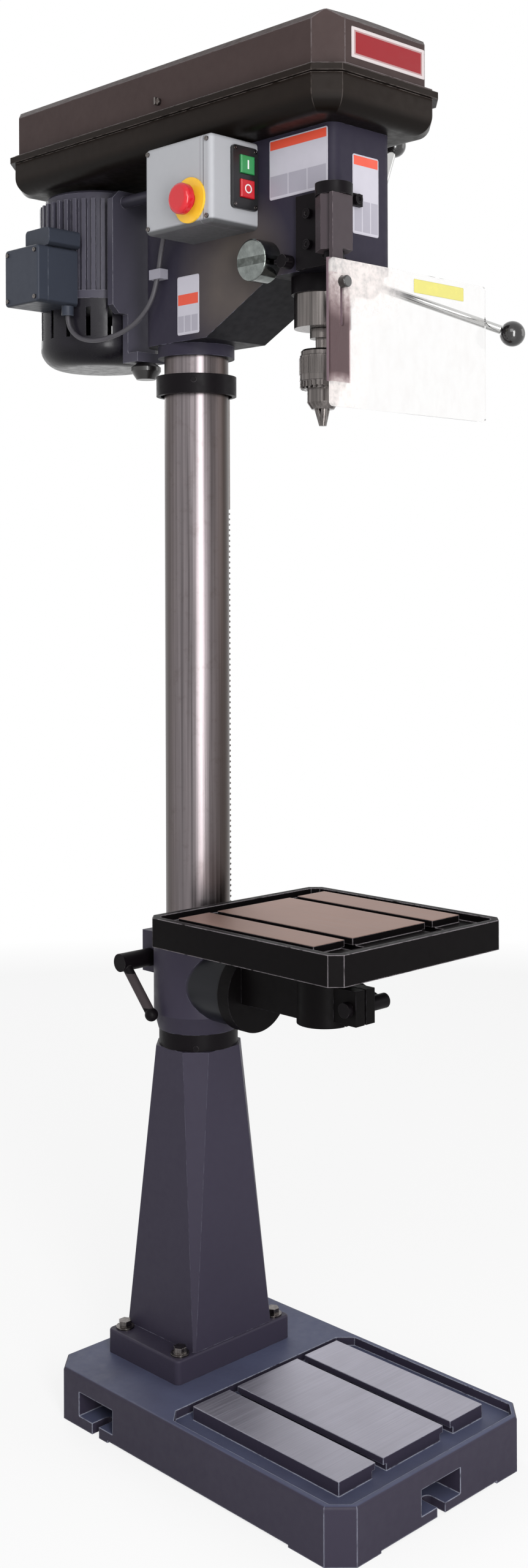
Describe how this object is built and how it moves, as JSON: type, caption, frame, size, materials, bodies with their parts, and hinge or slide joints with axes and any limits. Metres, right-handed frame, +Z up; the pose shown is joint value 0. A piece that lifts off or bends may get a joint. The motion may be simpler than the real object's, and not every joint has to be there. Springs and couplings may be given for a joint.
{
  "type": "floor drill press",
  "caption": "Floor-standing drill press: round column on a cast base, cranked tilting slotted table, belt-driven head with quill feed, chuck, shield and motor.",
  "frame": {"origin": "on the floor, under the axis of the column", "axes": "+Z up along the column, -Y towards the user, +X to the user's right"},
  "size_m": [0.4195, 0.7754, 1.8926],
  "materials": {
    "cast_dark": "textured dark paint",
    "cast_blue": "slate blue-grey paint",
    "table_iron": "ground cast iron with black painted sides",
    "column_steel": "ground steel tube",
    "bright_steel": "machined steel",
    "black_steel": "black oxide",
    "guard_paint": "semi-gloss dark brown paint",
    "motor_paint": "dark grey paint",
    "pulley_alloy": "turned",
    "belt_rubber": "matte",
    "bright_chrome": "polished",
    "dark_knob": "smooth",
    "box_grey": "light grey",
    "plate_black": "smooth",
    "button_green": "smooth",
    "button_red": "smooth",
    "ring_yellow": "smooth",
    "clear_pane": "clear"
  },
  "bodies": {
    "frame": {"base_casting": "cast_blue", "pedestal": "cast_blue", "pedestal_bolts": "bright_steel", "column": "column_steel", "rack_rings": "black_steel", "head_casting": "cast_blue", "quill_seal": "black_steel", "spring_cup": "bright_chrome", "pulley_supports": "bright_steel", "spindle_belt": "belt_rubber", "motor_belt": "belt_rubber", "guard_pan": "guard_paint", "motor_lead": "belt_rubber", "lead_fittings": "dark_knob", "switch_box": "box_grey", "switch_plate": "plate_black", "estop_ring": "ring_yellow", "shield_bracket": "black_steel"},
    "rack": {"column_rack": "bright_steel"},
    "bracket": {"table_bracket": "cast_blue", "tilt_bolt": "bright_steel"},
    "pinion": {"lift_pinion": "bright_steel"},
    "crank": {"lift_crank": "black_steel"},
    "grip": {"crank_grip": "dark_knob"},
    "column_lock": {"column_lock_lever": "bright_steel"},
    "arm": {"table_arm": "cast_dark"},
    "work_table": {"table": "table_iron"},
    "table_lock": {"table_lock_lever": "black_steel"},
    "quill_slide": {"quill": "bright_steel"},
    "spindle_chuck": {"spindle": "bright_steel", "chuck_body": "bright_steel"},
    "sleeve": {"chuck_sleeve": "bright_steel"},
    "jaw_1": {"chuck_jaw_1": "bright_steel"},
    "jaw_2": {"chuck_jaw_2": "bright_steel"},
    "jaw_3": {"chuck_jaw_3": "bright_steel"},
    "feed": {"feed_hub": "black_steel", "feed_spokes": "bright_chrome", "feed_knobs": "dark_knob"},
    "depth_ring": {"depth_stop_ring": "pulley_alloy"},
    "depth_clamp": {"depth_stop_knob": "black_steel"},
    "quill_lock": {"quill_lock_knob": "black_steel"},
    "front_pulley": {"spindle_pulley": "pulley_alloy"},
    "middle_pulley": {"idler_pulley": "pulley_alloy"},
    "motor": {"motor_housing": "motor_paint", "motor_fan_cover": "motor_paint", "motor_mount": "motor_paint", "terminal_box": "dark_knob"},
    "rotor": {"motor_rotor": "bright_steel", "motor_pulley": "pulley_alloy"},
    "motor_lock": {"motor_knob": "dark_knob"},
    "lid": {"guard_lid": "guard_paint"},
    "latch": {"lid_latch": "black_steel"},
    "start": {"start_button": "button_green"},
    "stop": {"stop_button": "button_red"},
    "estop": {"estop_button": "button_red"},
    "shield_arm": {"shield_post": "black_steel"},
    "shield": {"shield_bar": "black_steel", "shield_pane": "clear_pane"},
    "shield_clamp": {"shield_knob": "dark_knob"}
  },
  "joints": [
    {"name": "table_swing", "type": "hinge", "parent": "frame", "child": "rack", "pos_m": [0, 0, 0.6], "axis": [0, 0, 1], "range_deg": [-180, 180]},
    {"name": "table_lift", "type": "slide", "parent": "rack", "child": "bracket", "axis": [0, 0, 1], "range_m": [0, 0.46]},
    {"name": "lift_pinion_turn", "type": "hinge", "parent": "bracket", "child": "pinion", "pos_m": [0.0694, 0, 0.612], "axis": [0, -1, 0], "range_deg": [0, 1760]},
    {"name": "lift_crank_turn", "type": "hinge", "parent": "bracket", "child": "crank", "pos_m": [0.0694, 0.0256, 0.6464], "axis": [1, 0, 0], "range_deg": [0, 5275]},
    {"name": "crank_grip_turn", "type": "hinge", "parent": "crank", "child": "grip", "pos_m": [0.165, 0.1106, 0.6464], "axis": [1, 0, 0], "continuous": true},
    {"name": "column_lock_turn", "type": "hinge", "parent": "bracket", "child": "column_lock", "pos_m": [-0.055, 0.074, 0.622], "axis": [1, 0, 0], "range_deg": [-25, 50]},
    {"name": "table_tilt", "type": "hinge", "parent": "bracket", "child": "arm", "pos_m": [0, -0.115, 0.6], "axis": [0, 1, 0], "range_deg": [-45, 45]},
    {"name": "table_turn", "type": "hinge", "parent": "arm", "child": "work_table", "pos_m": [0, -0.256, 0.65], "axis": [0, 0, 1], "range_deg": [-8, 0]},
    {"name": "table_lock_turn", "type": "hinge", "parent": "arm", "child": "table_lock", "pos_m": [0.03, -0.316, 0.611], "axis": [1, 0, 0], "range_deg": [-25, 25]},
    {"name": "quill_feed", "type": "slide", "parent": "frame", "child": "quill_slide", "axis": [0, 0, -1], "range_m": [0, 0.085], "stiffness_N_per_m": 200, "springref_m": -0.6},
    {"name": "feed_turn", "type": "hinge", "parent": "frame", "child": "feed", "pos_m": [0.1, -0.2066, 1.592], "axis": [1, 0, 0], "range_deg": [0, 375]},
    {"name": "depth_ring_turn", "type": "hinge", "parent": "feed", "child": "depth_ring", "pos_m": [0.0705, -0.2066, 1.592], "axis": [1, 0, 0], "range_deg": [0, 300]},
    {"name": "depth_clamp_turn", "type": "hinge", "parent": "depth_ring", "child": "depth_clamp", "pos_m": [0.0705, -0.2066, 1.632], "axis": [0, 0, 1], "range_deg": [0, 360]},
    {"name": "quill_lock_turn", "type": "hinge", "parent": "frame", "child": "quill_lock", "pos_m": [-0.06, -0.252, 1.586], "axis": [1, 0, 0], "range_deg": [-60, 60]},
    {"name": "spindle_spin", "type": "hinge", "parent": "quill_slide", "child": "spindle_chuck", "pos_m": [0, -0.256, 1.5], "axis": [0, 0, 1], "continuous": true},
    {"name": "chuck_sleeve_turn", "type": "hinge", "parent": "spindle_chuck", "child": "sleeve", "pos_m": [0, -0.256, 1.44], "axis": [0, 0, 1], "range_deg": [0, 1260]},
    {"name": "front_pulley_spin", "type": "hinge", "parent": "frame", "child": "front_pulley", "pos_m": [0, -0.256, 1.78], "axis": [0, 0, 1], "continuous": true},
    {"name": "middle_pulley_spin", "type": "hinge", "parent": "frame", "child": "middle_pulley", "pos_m": [0, -0.02, 1.84], "axis": [0, 0, 1], "continuous": true},
    {"name": "motor_slide", "type": "slide", "parent": "frame", "child": "motor", "axis": [0, 1, 0], "range_m": [-0.012, 0.004], "deforming": ["motor_belt", "motor_lead"]},
    {"name": "motor_spin", "type": "hinge", "parent": "motor", "child": "rotor", "pos_m": [0, 0.221, 1.65], "axis": [0, 0, 1], "continuous": true},
    {"name": "motor_lock_turn", "type": "hinge", "parent": "motor", "child": "motor_lock", "pos_m": [-0.008, 0.104, 1.48], "axis": [0, 0, 1], "range_deg": [0, 360]},
    {"name": "lid_open", "type": "hinge", "parent": "frame", "child": "lid", "pos_m": [0.1234, 0, 1.8126], "axis": [0, 1, 0], "range_deg": [0, 95]},
    {"name": "latch_turn", "type": "hinge", "parent": "lid", "child": "latch", "pos_m": [-0.105, -0.045, 1.8296], "axis": [1, 0, 0], "range_deg": [0, 90]},
    {"name": "start_press", "type": "slide", "parent": "frame", "child": "start", "axis": [0, 1, 0], "range_m": [0, 0.0025], "stiffness_N_per_m": 800, "springref_m": -0.002},
    {"name": "stop_press", "type": "slide", "parent": "frame", "child": "stop", "axis": [0, 1, 0], "range_m": [0, 0.0025], "stiffness_N_per_m": 800, "springref_m": -0.002},
    {"name": "estop_press", "type": "slide", "parent": "frame", "child": "estop", "axis": [1, 0, 0], "range_m": [0, 0.004], "stiffness_N_per_m": 1500, "springref_m": -0.003},
    {"name": "shield_swing", "type": "hinge", "parent": "frame", "child": "shield_arm", "pos_m": [-0.076, -0.352, 1.6], "axis": [0, 0, 1], "range_deg": [-120, 0]},
    {"name": "shield_height", "type": "slide", "parent": "shield_arm", "child": "shield", "axis": [0, 0, 1], "range_m": [0, 0.04]},
    {"name": "shield_clamp_turn", "type": "hinge", "parent": "shield_arm", "child": "shield_clamp", "pos_m": [-0.091, -0.38, 1.539], "axis": [0, 1, 0], "range_deg": [0, 360]},
    {"name": "jaw_1_slide", "type": "slide", "parent": "spindle_chuck", "child": "jaw_1", "axis": [0.2756, 0, 0.9613], "range_m": [0, 0.023]},
    {"name": "jaw_2_slide", "type": "slide", "parent": "spindle_chuck", "child": "jaw_2", "axis": [-0.1378, 0.2387, 0.9613], "range_m": [0, 0.023]},
    {"name": "jaw_3_slide", "type": "slide", "parent": "spindle_chuck", "child": "jaw_3", "axis": [-0.1378, -0.2387, 0.9613], "range_m": [0, 0.023]}
  ],
  "couplings": [
    {"joint": "lift_pinion_turn", "follows": "table_lift", "rad_per_m": 66.667},
    {"joint": "lift_crank_turn", "follows": "table_lift", "rad_per_m": 200},
    {"joint": "feed_turn", "follows": "quill_feed", "rad_per_m": 76.923},
    {"joint": "middle_pulley_spin", "follows": "motor_spin", "ratio": 0.78417},
    {"joint": "front_pulley_spin", "follows": "motor_spin", "ratio": 0.61493},
    {"joint": "spindle_spin", "follows": "motor_spin", "ratio": 0.61493},
    {"joint": "jaw_1_slide", "follows": "chuck_sleeve_turn", "m_per_rad": 0.001045},
    {"joint": "jaw_2_slide", "follows": "chuck_sleeve_turn", "m_per_rad": 0.001045},
    {"joint": "jaw_3_slide", "follows": "chuck_sleeve_turn", "m_per_rad": 0.001045}
  ]
}
